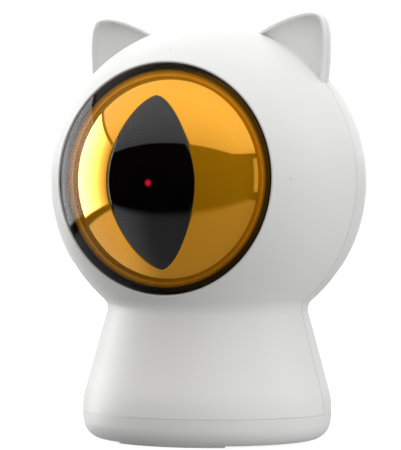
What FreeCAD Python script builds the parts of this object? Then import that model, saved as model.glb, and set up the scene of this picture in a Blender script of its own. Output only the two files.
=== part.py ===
import FreeCAD, Part
import math, os

os.makedirs("parts", exist_ok=True)
V = FreeCAD.Vector

# ---------------------------------------------------------------- driving dimensions (mm)
z_base = 0.5            # underside of the base cap above the table (the feet stand 0.5 proud)
head_r = 39.0           # head sphere
head_z = 63.8           # centre of the head sphere
wall = 2.0              # moulded wall of the shells
base_flat_r = 25.87     # flat part of the underside
base_fillet = 4.7       # rounding of the bottom edge
flare_r = 18.6          # large arc at the foot of the flare
flare_c = (12.22, 7.8)  # its centre (r, z)
cone_deg = 15.3         # half angle of the flared body
neck_fillet = 3.0       # concave blend between the body and the head
seam_z = 7.1            # level joint between the shells and the base cap
seam_gap = 0.11         # half width of the shadow groove along every joint line
seam_deep = 0.55        # depth of that groove
seam_fine = 0.06        # half width of the finer groove round the base
seam_shallow = 0.18     # and its depth

eye_r = 27.58           # eye opening (45 degrees of the head sphere)
lens_r = 27.40          # skirt of the clear dome
lens_out = 38.85        # outer radius of the clear dome, flush with the head
lens_t = 2.0
iris_rc = 35.45         # radius of curvature of the amber dome
iris_yc = -0.59         # its centre on the eye axis
iris_rs = 24.1          # radius at which its rounded shoulder begins
iris_r = 24.6           # radius of its wall below the shoulder
iris_ye = -25.55        # where the shoulder meets that wall
iris_t = 1.2
pupil_hw, pupil_hh = 11.3, 20.63  # half width and half height of the slit pupil
pupil_z, pupil_turn = -0.96, 1.65 # its centre from the eye axis, and its lean in degrees
pupil_n, pupil_m = 1.723, 0.642   # exponents of its outline
aim_deg = 1.8                     # the laser looks this much below the eye axis at rest

pivot_y, pivot_z = iris_yc, head_z   # crossing of the two laser axes, at the centre of the iris dome
mod = 0.5                         # gear module
wheel_n, pinion_n = 40, 10
centre_d = mod * (wheel_n + pinion_n) / 2.0

cell_r, cell_l = 5.25, 44.5       # AAA cell
deck_z0, deck_z1 = 39.5, 42.0     # mechanism deck
pcb_z0, pcb_z1 = 24.7, 26.3       # main board
fit = 0.05                        # running clearance, radial

# ---------------------------------------------------------------- helpers
def box(x0, x1, y0, y1, z0, z1):
    return Part.makeBox(x1 - x0, y1 - y0, z1 - z0, V(x0, y0, z0))

def cyl(r, p, d, h):
    return Part.makeCylinder(r, h, V(*p), V(*d))

def fuse(*s):
    out = s[0]
    if len(s) > 1:
        out = s[0].multiFuse(list(s[1:]))
    return out.removeSplitter()

def wire(edges):
    return Part.Wire(edges)

def seg(a, b):
    return Part.LineSegment(V(*a), V(*b)).toShape()

def arc3(c, r, a0, a1, plane="xz"):
    # arc by centre, radius and two angles in the r-z plane (drawn in XZ)
    am = 0.5 * (a0 + a1)
    p = [V(c[0] + r * math.cos(a), 0, c[1] + r * math.sin(a)) for a in (a0, am, a1)]
    return Part.Arc(*p).toShape()

# ---------------------------------------------------------------- outer form and its offsets
beta = math.radians(cone_deg)
nrm = (math.cos(beta), math.sin(beta))
G = flare_c
F = (G[0] + math.sqrt((flare_r - base_fillet) ** 2 - (z_base + base_fillet - G[1]) ** 2), z_base + base_fillet)
phi = math.atan2(F[1] - G[1], F[0] - G[0])
line_c = G[0] * nrm[0] + G[1] * nrm[1] + flare_r
lo, hi = 28.0, 36.0
def neck_err(z):
    r = (line_c + neck_fillet - nrm[1] * z) / nrm[0]
    return r * r + (z - head_z) ** 2 - (head_r + neck_fillet) ** 2
for _ in range(60):
    mid = 0.5 * (lo + hi)
    if neck_err(mid) > 0:
        lo = mid
    else:
        hi = mid
N = ((line_c + neck_fillet - nrm[1] * lo) / nrm[0], lo)
psi = math.atan2(N[1] - head_z, N[0])

def form(d):
    # solid of revolution of the head and body, every face moved inwards by d
    zb = z_base + d
    p = lambda c, r, a: (c[0] + r * math.cos(a), 0, c[1] + r * math.sin(a))
    S = (0.0, head_z)
    e = [seg((0, 0, zb), (F[0], 0, zb)),
         arc3(F, base_fillet - d, -math.pi / 2, phi),
         arc3(G, flare_r - d, phi, beta),
         seg(p(G, flare_r - d, beta), p(N, neck_fillet + d, beta + math.pi)),
         arc3(N, neck_fillet + d, beta + math.pi, psi + math.pi),
         arc3(S, head_r - d, psi, math.pi / 2),
         seg((0, 0, head_z + head_r - d), (0, 0, zb))]
    w = wire(e)
    s = Part.Face(w).revolve(V(0, 0, 0), V(0, 0, 1), 360)
    if s.Volume < 0:
        s.reverse()
    return Part.Solid(s) if s.ShapeType != "Solid" else s

def radius_at(z, d=0.0):
    # radius of the flared body at height z, moved inwards by d
    if z < G[1] + (flare_r - d) * math.sin(beta):
        return G[0] + math.sqrt(max((flare_r - d) ** 2 - (z - G[1]) ** 2, 0))
    return (line_c - d - nrm[1] * z) / nrm[0]

outer = form(0.0)
inner = form(wall)
skin = form(seam_deep)
free = form(wall + 0.35)

FRONT = box(-60, 60, -60, 0, -5, 120)
REAR = box(-60, 60, 0, 60, -5, 120)
ABOVE = box(-60, 60, -60, 60, seam_z, 120)
BELOW = box(-60, 60, -60, 60, -5, seam_z)

# ---------------------------------------------------------------- ears
ear_pts = [(11.0, 98.5), (14.7, 100.5), (19.0, 102.55), (22.4, 103.8), (25.7, 104.55),
           (28.2, 104.65), (30.0, 104.0), (31.0, 102.0), (31.38, 99.2), (31.4, 95.5),
           (31.2, 91.5), (30.85, 88.0), (30.4, 84.5)]
ear_c = (19.0, 90.0)
ear_front = -2.7
ear_panel = -1.0
ear_rim = 0.72

def ear_wire(sx, y, k=1.0, inset=0.0):
    pts = []
    for x, z in ear_pts:
        pts.append((ear_c[0] + (x - ear_c[0]) * k, ear_c[1] + (z - ear_c[1]) * k))
    if inset:
        out = []
        for i, (x, z) in enumerate(pts):
            a = pts[max(i - 1, 0)]
            b = pts[min(i + 1, len(pts) - 1)]
            t = (b[0] - a[0], b[1] - a[1])
            n = math.hypot(*t)
            out.append((x + t[1] / n * inset * 1.0, z - t[0] / n * inset))
        pts = out
    P = [V(sx * x, y, z) for x, z in pts]
    c = Part.BSplineCurve()
    c.interpolate(P)
    mid = V(sx * (ear_c[0] - 4.0), y, ear_c[1] - 4.0)
    return Part.Wire([c.toShape(), Part.LineSegment(P[-1], mid).toShape(), Part.LineSegment(mid, P[0]).toShape()])

def prism(w, dy):
    s = Part.Face(w).extrude(V(0, dy, 0))
    if s.Volume < 0:
        s.reverse()
    return s

def ear_front_piece(sx):
    # raised rim around a recessed flat panel
    body = prism(ear_wire(sx, ear_front), -ear_front)
    rim_edges = []
    for e in body.Edges:
        bb = e.BoundBox
        if abs(bb.YMin - ear_front) < 1e-6 and abs(bb.YMax - ear_front) < 1e-6 and e.Length > 20:
            if isinstance(e.Curve, Part.BSplineCurve):
                rim_edges.append(e)
    try:
        b2 = body.makeFillet(0.3, rim_edges)
        if b2.isValid() and abs(b2.Volume - body.Volume) < 0.1 * body.Volume:
            body = b2
    except Exception:
        pass
    cut = prism(ear_wire(sx, ear_front - 1.0, inset=ear_rim), ear_panel - ear_front + 1.0)
    return body.cut(cut)

def ear_rear_piece(sx):
    ks = [(0.0, 1.0), (1.4, 0.995), (2.8, 0.972), (4.1, 0.925), (5.2, 0.855), (6.0, 0.765)]
    loft = Part.makeLoft([ear_wire(sx, y, k) for y, k in ks], True, False)
    if loft.Volume < 0:
        loft.reverse()
    kc = [(-0.5, 0.88), (1.4, 0.87), (2.8, 0.83), (3.9, 0.76)]
    core = Part.makeLoft([ear_wire(sx, y, k) for y, k in kc], True, False)
    if core.Volume < 0:
        core.reverse()
    return loft, core

def ear_groove(sx, y0, y1):
    return prism(ear_wire(sx, y0), y1 - y0).cut(prism(ear_wire(sx, y0 - 1, inset=0.4), y1 - y0 + 2))

# ---------------------------------------------------------------- screws
def screw(p, d, shank_r, length, head_r_, head_h, pan=True):
    # p is the seat under the head, d points from the head along the shank
    d = V(*d)
    d.normalize()
    P = V(*p)
    sh = Part.makeCylinder(shank_r, length, P, d)
    tip = Part.makeCone(shank_r, shank_r * 0.45, 0.8, P + d * length, d)
    hd = Part.makeCylinder(head_r_, head_h, P - d * head_h, d)
    try:
        top = [e for e in hd.Edges if (e.CenterOfMass - (P - d * head_h)).Length < 1e-3 and e.Length > 3]
        hd = hd.makeFillet(min(head_h * 0.35, 0.5), top)
    except Exception:
        pass
    s = fuse(hd, sh, tip)
    u = V(1, 0, 0) if abs(d.x) < 0.5 else V(0, 1, 0)
    v = d.cross(u)
    u = v.cross(d)
    q = P - d * head_h
    w, l, dp = head_r_ * 0.22, head_r_ * 1.15, head_h * 0.55
    for a, b in ((u, v), (v, u)):
        o = q - a * (l / 2) - b * (w / 2) - d * 0.1
        f = Part.Face(Part.makePolygon([o, o + a * l, o + a * l + b * w, o + b * w, o]))
        slot = f.extrude(d * (dp + 0.1))
        s = s.cut(slot)
    return s

nodes = {}
def put(name, *solids):
    nodes[name] = solids[0] if len(solids) == 1 else Part.makeCompound(list(solids))

# ---------------------------------------------------------------- fastening layout
shell_bolts = [(22.3, head_z + 22.3), (-22.3, head_z + 22.3), (19.0, 30.2), (-19.0, 30.2)]
seat_y = 8.0
base_bolts = [(10.0, -20.5), (-10.0, -20.5), (10.0, 20.5), (-10.0, 20.5)]
deck_bolts = [(18.0, -12.5), (-18.0, -12.5), (22.3, -4.2), (-22.3, -4.2)]

button_z = 22.4
usb_z = pcb_z1 + 1.62

def base_boss(x, y):
    a = math.atan2(y, x)
    b = cyl(3.2, (x, y, 8.2), (0, 0, 1), 11.4)
    web = box(22.8, 30.5, -1.0, 1.0, 10.0, 19.6)
    web.rotate(V(0, 0, 0), V(0, 0, 1), math.degrees(a))
    return b.fuse(web).common(skin)

# ---------------------------------------------------------------- front shell
shell_all = outer.cut(inner).common(ABOVE)
front = shell_all.common(FRONT)
front = front.fuse(outer.common(cyl(31.6, (0, -28.5, head_z), (0, 1, 0), 28.5 - 20.0)).cut(cyl(20, (0, -40, head_z), (0, 1, 0), 45)))
front = front.multiFuse([ear_front_piece(1).cut(inner), ear_front_piece(-1).cut(inner)])
adds = []
for x, z in shell_bolts:
    adds.append(cyl(3.0, (x, -18.2, z), (0, 1, 0), 18.2).common(skin))
for x, y in base_bolts:
    if y < 0:
        adds.append(base_boss(x, y))
for x, y in deck_bolts:
    adds.append(cyl(2.8, (x, y, 32.6), (0, 0, 1), deck_z0 - 32.6).common(skin).common(box(-60, 60, -60, -0.2, 0, 100)))
front = front.multiFuse(adds)
cuts = [cyl(eye_r, (0, -45, head_z), (0, 1, 0), 30),
        cyl(28.85, (0, -22.8, head_z), (0, 1, 0), 15)]
for x, z in shell_bolts:
    cuts.append(cyl(1.28, (x, -10, z), (0, 1, 0), 11))
for x, y in base_bolts:
    cuts.append(cyl(1.28, (x, y, 8), (0, 0, 1), 9.5))
for x, y in deck_bolts:
    cuts.append(cyl(1.03, (x, y, 35.2), (0, 0, 1), 6))
for k in range(4):
    a = math.radians(90 * k)
    cuts.append(cyl(0.93, (30.2 * math.cos(a), -23.6, head_z + 30.2 * math.sin(a)), (0, 1, 0), 5))
ringv = outer.cut(skin)
ringb = outer.cut(form(seam_shallow))
cuts.append(ringv.common(box(-60, 60, -seam_gap, 1, -5, 120)))
cuts.append(ringb.common(box(-60, 60, -60, 60, seam_z - 1, seam_z + seam_fine)))
cuts.append(ear_groove(1, -seam_gap, 0.5))
cuts.append(ear_groove(-1, -seam_gap, 0.5))
for c in cuts:
    front = front.cut(c)
try:
    y_lip = -math.sqrt(head_r ** 2 - eye_r ** 2)
    lip = [e for e in front.Edges if e.Length > 8 and abs(e.CenterOfMass.y - y_lip) < 0.02
           and abs(e.valueAt(e.FirstParameter).y - y_lip) < 0.02 and abs(e.valueAt(0.5 * (e.FirstParameter + e.LastParameter)).y - y_lip) < 0.02]
    f2 = front.makeFillet(0.35, lip)
    if f2.isValid() and f2.Volume > 0.98 * front.Volume:
        front = f2
except Exception as err:
    print("eye lip left sharp", len(lip), err)
put("front_shell", front)

# ---------------------------------------------------------------- rear shell
rear = shell_all.common(REAR)
parts_r, cores = [], []
for sx in (1, -1):
    l, c = ear_rear_piece(sx)
    parts_r.append(l.cut(inner))
    cores.append(c.cut(outer))
rear = rear.multiFuse(parts_r)
for c in cores:
    rear = rear.cut(c)
adds = []
for x, z in shell_bolts:
    adds.append(cyl(3.6, (x, 0, z), (0, 1, 0), 30).common(skin))
for x, y in base_bolts:
    if y > 0:
        adds.append(base_boss(x, y))
adds.append(cyl(4.6, (0, 24.0, button_z), (0, 1, 0), 4).common(skin).cut(cyl(3.9, (0, 20, button_z), (0, 1, 0), 5.15)))
rear = rear.multiFuse(adds)
for x, z in shell_bolts:
    rear = rear.cut(cyl(1.5, (x, -1, z), (0, 1, 0), 20))
    rear = rear.cut(cyl(2.65, (x, seat_y, z), (0, 1, 0), 30))
for x, y in base_bolts:
    rear = rear.cut(cyl(1.28, (x, y, 8), (0, 0, 1), 9.5))
rear = rear.cut(cyl(3.1, (0, 20, button_z), (0, 1, 0), 12))
rear = rear.cut(cyl(3.9, (0, 20, button_z), (0, 1, 0), 5.15))
usb_hole = box(-3.0, 3.0, 20, 40, usb_z - 1.9, usb_z + 1.9)
for sx in (1, -1):
    usb_hole = usb_hole.fuse(cyl(1.9, (sx * 3.0, 20, usb_z), (0, 1, 0), 20))
rear = rear.cut(usb_hole)
rear = rear.cut(cyl(1.08, (8.5, 15, button_z), (0, 1, 0), 20))
for c in (ringv.common(box(-60, 60, -1, seam_gap, -5, 120)),
          ringb.common(box(-60, 60, -60, 60, seam_z - 1, seam_z + seam_fine)),
          ear_groove(1, -0.5, seam_gap), ear_groove(-1, -0.5, seam_gap)):
    rear = rear.cut(c)
put("rear_shell", rear)

# ---------------------------------------------------------------- base cap with battery box
row_y, row_z = 5.4, 8.35
top_z = row_z + math.sqrt(10.7 ** 2 - row_y ** 2)
bay_x = 23.6
door_x, door_y, door_screw_y = 24.3, 11.9, 14.2
cap = outer.cut(inner).common(BELOW)
spigot = Part.makeCylinder(28.68, 7.2, V(0, 0, 2.4)).cut(Part.makeCylinder(27.4, 9, V(0, 0, 1.5)))
spigot = spigot.common(form(0.3))
bo = fuse(box(-24.9, 24.9, -12.3, 12.3, 2.0, row_z + 6.85),
          box(-24.9, 24.9, -6.75, 6.75, 10.0, top_z),
          cyl(6.75, (-24.9, 0, top_z), (1, 0, 0), 49.8)).common(free)
posts = [cyl(2.6, (sx * 15, sy * 9.5, 14.0), (0, 0, 1), pcb_z0 - 14.0) for sx in (1, -1) for sy in (1, -1)]
bosses = [cyl(3.7, (x, y, 2.0), (0, 0, 1), 6.0) for x, y in base_bolts]
cap = cap.multiFuse([spigot, bo] + posts + bosses)
for y in (row_y, -row_y):
    cap = cap.cut(cyl(5.6, (-bay_x, y, row_z), (1, 0, 0), 2 * bay_x))
cap = cap.cut(box(-bay_x, bay_x, -11.0, 11.0, -1, row_z))
cap = cap.cut(box(-bay_x, bay_x, -5.55, 5.55, row_z - 1, top_z))
cap = cap.cut(cyl(5.55, (-bay_x, 0, top_z), (1, 0, 0), 2 * bay_x))
# rebate that carries the edge of the battery door
cap = cap.cut(box(-24.45, 24.45, -12.05, 12.05, -1, 1.75).common(Part.makeCylinder(25.7, 5, V(0, 0, -1))))
for s in (1, -1):
    cap = cap.fuse(cyl(3.3, (0, s * door_screw_y, 2.0), (0, 0, 1), 7.0))
    cap = cap.cut(box(-bay_x, bay_x, -11.0, 11.0, -1, row_z))
    cap = cap.cut(fuse(box(-3.75, 3.75, min(0, s * door_screw_y), max(0, s * door_screw_y), -1, 1.75), cyl(3.75, (0, s * door_screw_y, -1), (0, 0, 1), 2.75)))
    cap = cap.cut(cyl(0.98, (0, s * door_screw_y, 1), (0, 0, 1), 6.2))
for x, y in base_bolts:
    cap = cap.cut(cyl(2.75, (x, y, -1), (0, 0, 1), 5.0))
    cap = cap.cut(cyl(1.5, (x, y, 0), (0, 0, 1), 12))
for sx in (1, -1):
    for sy in (1, -1):
        cap = cap.cut(cyl(0.93, (sx * 15, sy * 9.5, 18.5), (0, 0, 1), 10))
# pockets for the two feet
def kidney(r0, r1, half, z0, z1, s):
    a = Part.makeCylinder(r1, z1 - z0, V(0, 0, z0)).cut(Part.makeCylinder(r0, z1 - z0 + 1, V(0, 0, z0 - 0.5)))
    t = math.tan(math.radians(half))
    w = Part.Face(Part.makePolygon([V(0, 0, z0 - 1), V(60 * t * 1.0, s * 60, z0 - 1), V(-60 * t, s * 60, z0 - 1), V(0, 0, z0 - 1)]))
    return a.common(w.extrude(V(0, 0, z1 - z0 + 2)))
for s in (1, -1):
    cap = cap.cut(kidney(19.4, 25.4, 34.0, -1, 1.2, s))
cap = cap.cut(ringb.common(box(-60, 60, -60, 60, seam_z - seam_fine, seam_z + 1)))
put("base_cap", cap)

feet = []
for s in (1, -1):
    k = kidney(19.55, 25.25, 33.5, 0, 1.2, s)
    try:
        es = [e for e in k.Edges if abs(e.BoundBox.ZMin) < 1e-6 and abs(e.BoundBox.ZMax) < 1e-6]
        k2 = k.makeFillet(0.25, es)
        if k2.isValid():
            k = k2
    except Exception:
        pass
    feet.append(k)
put("rubber_feet", *feet)
put("base_screws", *[screw((x, y, 4.0), (0, 0, 1), 1.25, 12.0, 2.5, 1.7) for x, y in base_bolts])
put("shell_screws", *[screw((x, seat_y, z), (0, -1, 0), 1.25, 16.0, 2.4, 1.7) for x, z in shell_bolts])

# ---------------------------------------------------------------- battery door, cells and contacts
door = box(-door_x, door_x, -door_y, door_y, z_base, 1.7).common(Part.makeCylinder(25.55, 5, V(0, 0, 0)))
grip = [box(-6, 6, 7.2 + 1.1 * i, 7.6 + 1.1 * i, z_base - 1, z_base + 0.35) for i in range(3)]
for g in grip:
    door = door.cut(g)
rib = [box(-bay_x + 0.4, bay_x - 0.4, y - 0.5, y + 0.5, 1.6, 2.6) for y in (-10.2, 0.0, 10.2)]
door = door.multiFuse(rib)
# a tab at each long side takes the fixing screw
for s in (1, -1):
    door = fuse(door, box(-3.6, 3.6, min(s * 11.0, s * door_screw_y), max(s * 11.0, s * door_screw_y), z_base, 1.7), cyl(3.6, (0, s * door_screw_y, z_base), (0, 0, 1), 1.2))
    door = door.cut(cyl(2.0, (0, s * door_screw_y, -1), (0, 0, 1), 2.05)).cut(cyl(1.05, (0, s * door_screw_y, -1), (0, 0, 1), 4))
put("battery_door", door)
put("battery_door_screws", *[screw((0, s * door_screw_y, 1.05), (0, 0, 1), 0.94, 4.2, 1.8, 0.5) for s in (1, -1)])

cells, springs, plates = [], [], []
spots = [(row_y, row_z, 1), (-row_y, row_z, -1), (0.0, top_z, 1)]
for y, z, s in spots:
    x0 = -cell_l / 2
    c = cyl(cell_r - 0.02, (x0, y, z), (1, 0, 0), cell_l - 1.0)
    nub = cyl(1.9, (x0 + cell_l - 1.1, y, z), (1, 0, 0), 1.1)
    try:
        ce = [e for e in c.Edges if isinstance(e.Curve, Part.Circle)]
        c = c.makeFillet(0.4, ce)
    except Exception:
        pass
    c = c.fuse(nub)
    if s < 0:
        c.rotate(V(0, y, z), V(0, 0, 1), 180)
    cells.append(c)
    # coil at the flat end, plate at the nub end
    xe = s * x0
    d = 1 if xe > 0 else -1
    t1 = Part.makeTorus(3.0, 0.33, V(xe + d * 0.35, y, z), V(1, 0, 0))
    t2 = Part.makeTorus(2.55, 0.33, V(xe + d * 0.76, y, z), V(1, 0, 0))
    pl = cyl(3.6, (xe + d * 0.95, y, z), (d, 0, 0), 0.3)
    springs.append(fuse(t1, t2, pl))
    plates.append(cyl(3.6, (-xe + (-d) * 0.02, y, z), (-d, 0, 0), 0.4).fuse(box(min(-xe - d * 0.42, -xe - d * 0.82), max(-xe - d * 0.42, -xe - d * 0.82), y - 1, y + 1, z - 1, z + 1)))
put("battery_cells", *cells)
put("battery_springs", *springs)
put("battery_contacts", *plates)

# ---------------------------------------------------------------- eye stack
def rev_y(pts_edges):
    w = wire(pts_edges)
    s = Part.Face(w).revolve(V(0, 0, 0), V(0, 1, 0), 360)
    if s.Volume < 0:
        s.reverse()
    s = s.copy()
    s.translate(V(0, 0, head_z))
    return s

def arc_y(r_c, yc, r0, r1):
    # meridian arc of a sphere centred on the eye axis at y = yc, from radius r0 to r1 (drawn in XY)
    p = lambda r: V(r, yc - math.sqrt(r_c * r_c - r * r), 0)
    return Part.Arc(p(r0), p(0.5 * (r0 + r1)), p(r1)).toShape()

def ys(r_c, yc, r):
    return yc - math.sqrt(r_c * r_c - r * r)

def poly_y(pts):
    q = [V(x, y, 0) for x, y in pts]
    return [Part.LineSegment(a, b).toShape() for a, b in zip(q[:-1], q[1:])]

lr_in = lens_out - lens_t
lens = rev_y([arc_y(lens_out, 0, 0, lens_r)]
             + poly_y([(lens_r, ys(lens_out, 0, lens_r)), (lens_r, -22.72), (28.7, -22.72), (28.7, -21.42), (26.0, -21.42), (26.0, ys(lr_in, 0, 26.0))])
             + [arc_y(lr_in, 0, 26.0, 0)]
             + poly_y([(0, -lr_in), (0, -lens_out)]))
put("eye_lens", lens)

# the dome's profile: sphere, rounded shoulder, short wall; every face moved inwards by d
S0 = (iris_rs, iris_yc - math.sqrt(iris_rc ** 2 - iris_rs ** 2))
n0 = (iris_rs / iris_rc, (S0[1] - iris_yc) / iris_rc)
dv = (iris_r - S0[0], iris_ye - S0[1])
sh_r = -(dv[0] ** 2 + dv[1] ** 2) / (2 * (n0[0] * dv[0] + n0[1] * dv[1]))
sh_c = (S0[0] - sh_r * n0[0], S0[1] - sh_r * n0[1])
th0 = math.atan2(n0[1], n0[0])
th1 = math.atan2(iris_ye - sh_c[1], iris_r - sh_c[0])

def iris_form(d, y_back):
    def on(c, r, a):
        return V(c[0] + r * math.cos(a), c[1] + r * math.sin(a), 0)
    c0 = (0.0, iris_yc)
    top, st = on(c0, iris_rc - d, -math.pi / 2), on(c0, iris_rc - d, th0)
    e = [Part.Arc(top, on(c0, iris_rc - d, 0.5 * (th0 - math.pi / 2)), st).toShape(),
         Part.Arc(st, on(sh_c, sh_r - d, 0.5 * (th0 + th1)), on(sh_c, sh_r - d, th1)).toShape()]
    q = [on(sh_c, sh_r - d, th1), V(iris_r - d, iris_ye + 0.6, 0), V(iris_r - d, y_back, 0), V(0, y_back, 0), top]
    e += [Part.LineSegment(u, w).toShape() for u, w in zip(q[:-1], q[1:])]
    return rev_y(e)

def slit(grow):
    # pointed oval, leaning a little, drawn through points and cut along the eye axis
    a, b = pupil_hw + grow, pupil_hh + grow
    k = math.radians(pupil_turn)
    def side(sg):
        pts = []
        for i in range(33):
            t = -math.pi / 2 + math.pi * i / 32
            x = sg * a * max(1 - abs(math.sin(t)) ** pupil_n, 0.0) ** pupil_m
            z = b * math.sin(t)
            pts.append(V(x * math.cos(k) - z * math.sin(k), -50, head_z + pupil_z + x * math.sin(k) + z * math.cos(k)))
        c = Part.BSplineCurve()
        c.interpolate(pts)
        return c.toShape()
    w = Part.Wire([side(1), side(-1)])
    s = Part.Face(w).extrude(V(0, 45, 0))
    if s.Volume < 0:
        s.reverse()
    return s

iris = iris_form(0.0, -22.0).cut(iris_form(iris_t, -21.0)).cut(slit(0.0))
put("iris_dome", iris)
win_out = iris_form(0.05, -21.0).cut(iris_form(iris_t + 0.02, -20.5)).common(slit(-0.05))
win_back = iris_form(iris_t + 0.02, -20.5).cut(Part.makeSphere(iris_rc - iris_t - 1.2, V(0, iris_yc, head_z))).common(slit(0.95))
window = fuse(win_out, win_back)
put("pupil_window", window)

bezel = rev_y(poly_y([(25.9, -26.05), (25.75, -26.05), (24.75, -25.6), (24.68, -25.6), (24.68, -21.98), (23.2, -21.98),
                      (23.2, -20.05), (28.7, -20.05), (28.7, -21.38), (25.9, -21.38), (25.9, -26.05)]))
put("eye_bezel", bezel)
ret = rev_y(poly_y([(23.6, -20.0), (31.0, -20.0), (31.0, -18.6), (23.6, -18.6), (23.6, -20.0)]))
ret = ret.common(form(wall + 0.1))
for k in range(4):
    a = math.radians(90 * k)
    ret = ret.cut(cyl(1.0, (30.2 * math.cos(a), -25, head_z + 30.2 * math.sin(a)), (0, 1, 0), 10))
put("eye_retainer", ret)
put("eye_screws", *[screw((30.2 * math.cos(math.radians(90 * k)), -18.6, head_z + 30.2 * math.sin(math.radians(90 * k))), (0, -1, 0), 0.9, 3.9, 1.7, 1.0) for k in range(4)])

# ---------------------------------------------------------------- mechanism deck
deck = Part.makeCylinder(29.0, deck_z1 - deck_z0, V(0, 0, deck_z0)).common(free)
deck = deck.common(box(-60, 60, -16.4, 17.0, 0, 100))
rib1 = box(-20, 20, 15.3, 16.9, deck_z1 - 0.5, deck_z1 + 3.0).common(free)
rib2 = [box(sx * 24.0 - 0.8, sx * 24.0 + 0.8, 1.0, 12.0, deck_z1 - 0.5, deck_z1 + 3.0).common(free) for sx in (1, -1)]
deck = deck.multiFuse([rib1] + rib2)
deck = deck.cut(cyl(4.02, (0, pivot_y, deck_z0 - 1), (0, 0, 1), 5))
mot_y = pivot_y + centre_d
deck = deck.cut(cyl(3.0, (0, mot_y, deck_z0 - 1), (0, 0, 1), 5))
for sx in (1, -1):
    deck = deck.cut(cyl(1.1, (sx * 10.5, mot_y, deck_z0 - 1), (0, 0, 1), 5))
    deck = deck.cut(cyl(3.6, (sx * 17.0, 8.5, deck_z0 - 1), (0, 0, 1), 5))
for x, y in deck_bolts:
    deck = deck.cut(cyl(1.15, (x, y, deck_z0 - 1), (0, 0, 1), 5))
put("chassis", deck)
put("chassis_screws", *[screw((x, y, deck_z1), (0, 0, -1), 1.0, 5.6, 2.0, 1.3) for x, y in deck_bolts])

bush = fuse(cyl(4.0, (0, pivot_y, deck_z0), (0, 0, 1), deck_z1 - deck_z0), cyl(5.2, (0, pivot_y, deck_z1), (0, 0, 1), 0.5))
bush = bush.cut(cyl(2.5 + fit, (0, pivot_y, 30), (0, 0, 1), 20))
put("yaw_bush", bush)

# ---------------------------------------------------------------- gears
def gear(n, m, h, bore, phase_deg):
    # flat gear on +Z with its first tooth at phase_deg
    r = m * n / 2.0
    pitch = 2 * math.pi / n
    ra, rf = r + 0.85 * m, r - 1.1 * m
    tw = [(rf, 0.300), (r - 0.45 * m, 0.265), (r, 0.210), (r + 0.45 * m, 0.150), (ra, 0.085)]
    pts = []
    for i in range(n):
        c = math.radians(phase_deg) + i * pitch
        for rr, t in tw:
            a = c - t * pitch
            pts.append(V(rr * math.cos(a), rr * math.sin(a), 0))
        for rr, t in reversed(tw):
            a = c + t * pitch
            pts.append(V(rr * math.cos(a), rr * math.sin(a), 0))
    pts.append(pts[0])
    g = Part.Face(Part.makePolygon(pts)).extrude(V(0, 0, h))
    if g.Volume < 0:
        g.reverse()
    return g.cut(Part.makeCylinder(bore, h + 2, V(0, 0, -1)))

def to_x(s):
    # turn a part drawn on +Z so that it lies along +X
    c = s.copy()
    c.transformShape(FreeCAD.Matrix(0, 0, 1, 0, 1, 0, 0, 0, 0, 1, 0, 0, 0, 0, 0, 1), True)
    return c

gz0, gz1 = 42.7, 45.0
half_p = 360.0 / pinion_n / 2.0
yg = gear(wheel_n, mod, gz1 - gz0, 2.52, 90.0)
for k in range(5):
    a = math.radians(72 * k + 18)
    yg = yg.cut(Part.makeCylinder(1.7, 10, V(5.8 * math.cos(a), 5.8 * math.sin(a), -1)))
yg.translate(V(0, pivot_y, gz0))
put("yaw_gear", yg)
yp = gear(pinion_n, mod, 2.3, 0.78, -90.0 + half_p)
yp.translate(V(0, mot_y, gz0 - 0.3))
put("yaw_pinion", yp)
put("yaw_motor_shaft", cyl(0.75, (0, mot_y, 33.0), (0, 0, 1), 12.2))

ym = cyl(7.5, (0, mot_y, 29.9), (0, 0, 1), deck_z0 - 29.9)
ym_pl = box(-13.2, 13.2, mot_y - 3.2, mot_y + 3.2, deck_z0 - 0.9, deck_z0)
ym_boss = cyl(2.9, (0, mot_y, deck_z0 - 1), (0, 0, 1), 2.2)
ym_can = box(-4, 4, mot_y + 5, mot_y + 8.6, 30.5, 34.0)
ym = fuse(ym, ym_pl, ym_boss, ym_can)
ym = ym.cut(cyl(0.75 + fit, (0, mot_y, 32.9), (0, 0, 1), 20))
for sx in (1, -1):
    ym = ym.cut(cyl(1.0, (sx * 10.5, mot_y, 30), (0, 0, 1), 20))
put("yaw_motor", ym)
put("yaw_motor_screws", *[screw((sx * 10.5, mot_y, deck_z1), (0, 0, -1), 0.95, 3.4, 1.8, 1.1) for sx in (1, -1)])

# ---------------------------------------------------------------- yaw frame
px = 12.0
yf = cyl(10.0, (0, pivot_y, gz1), (0, 0, 1), 2.4)
spindle = cyl(2.5, (0, pivot_y, 39.2), (0, 0, 1), gz1 - 39.2 + 0.5)
arms = []
for sx in (1, -1):
    x0, x1 = (6.5, 8.7) if sx > 0 else (-8.7, -6.5)
    a = box(x0, x1, pivot_y - 4.4, pivot_y + 4.4, gz1 + 1, pivot_z).fuse(cyl(4.4, (x0, pivot_y, pivot_z), (1, 0, 0), x1 - x0))
    arms.append(a)
mx0, mx1 = 6.5, 8.7
ext = fuse(box(mx0, mx1, pivot_y + 2, mot_y, pivot_z - 4.4, pivot_z + 4.4), cyl(6.0, (mx0, mot_y, pivot_z), (1, 0, 0), mx1 - mx0))
brace = Part.Face(Part.makePolygon([V(mx0, pivot_y + 4.2, gz1 + 1.2), V(mx0, mot_y - 1.0, pivot_z - 5.0), V(mx0, pivot_y + 4.2, pivot_z - 3.0), V(mx0, pivot_y + 4.2, gz1 + 1.2)])).extrude(V(mx1 - mx0, 0, 0))
yf = fuse(yf, spindle, arms[0], arms[1], ext, brace)
yf = yf.cut(cyl(1.5 + fit, (-20, pivot_y, pivot_z), (1, 0, 0), 40))
yf = yf.cut(cyl(1.6, (mx0 - 1, mot_y, pivot_z), (1, 0, 0), 5))
for s in (1, -1):
    yf = yf.cut(cyl(0.95, (mx0 - 1, mot_y, pivot_z + s * 3.7), (1, 0, 0), 5))
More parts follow.
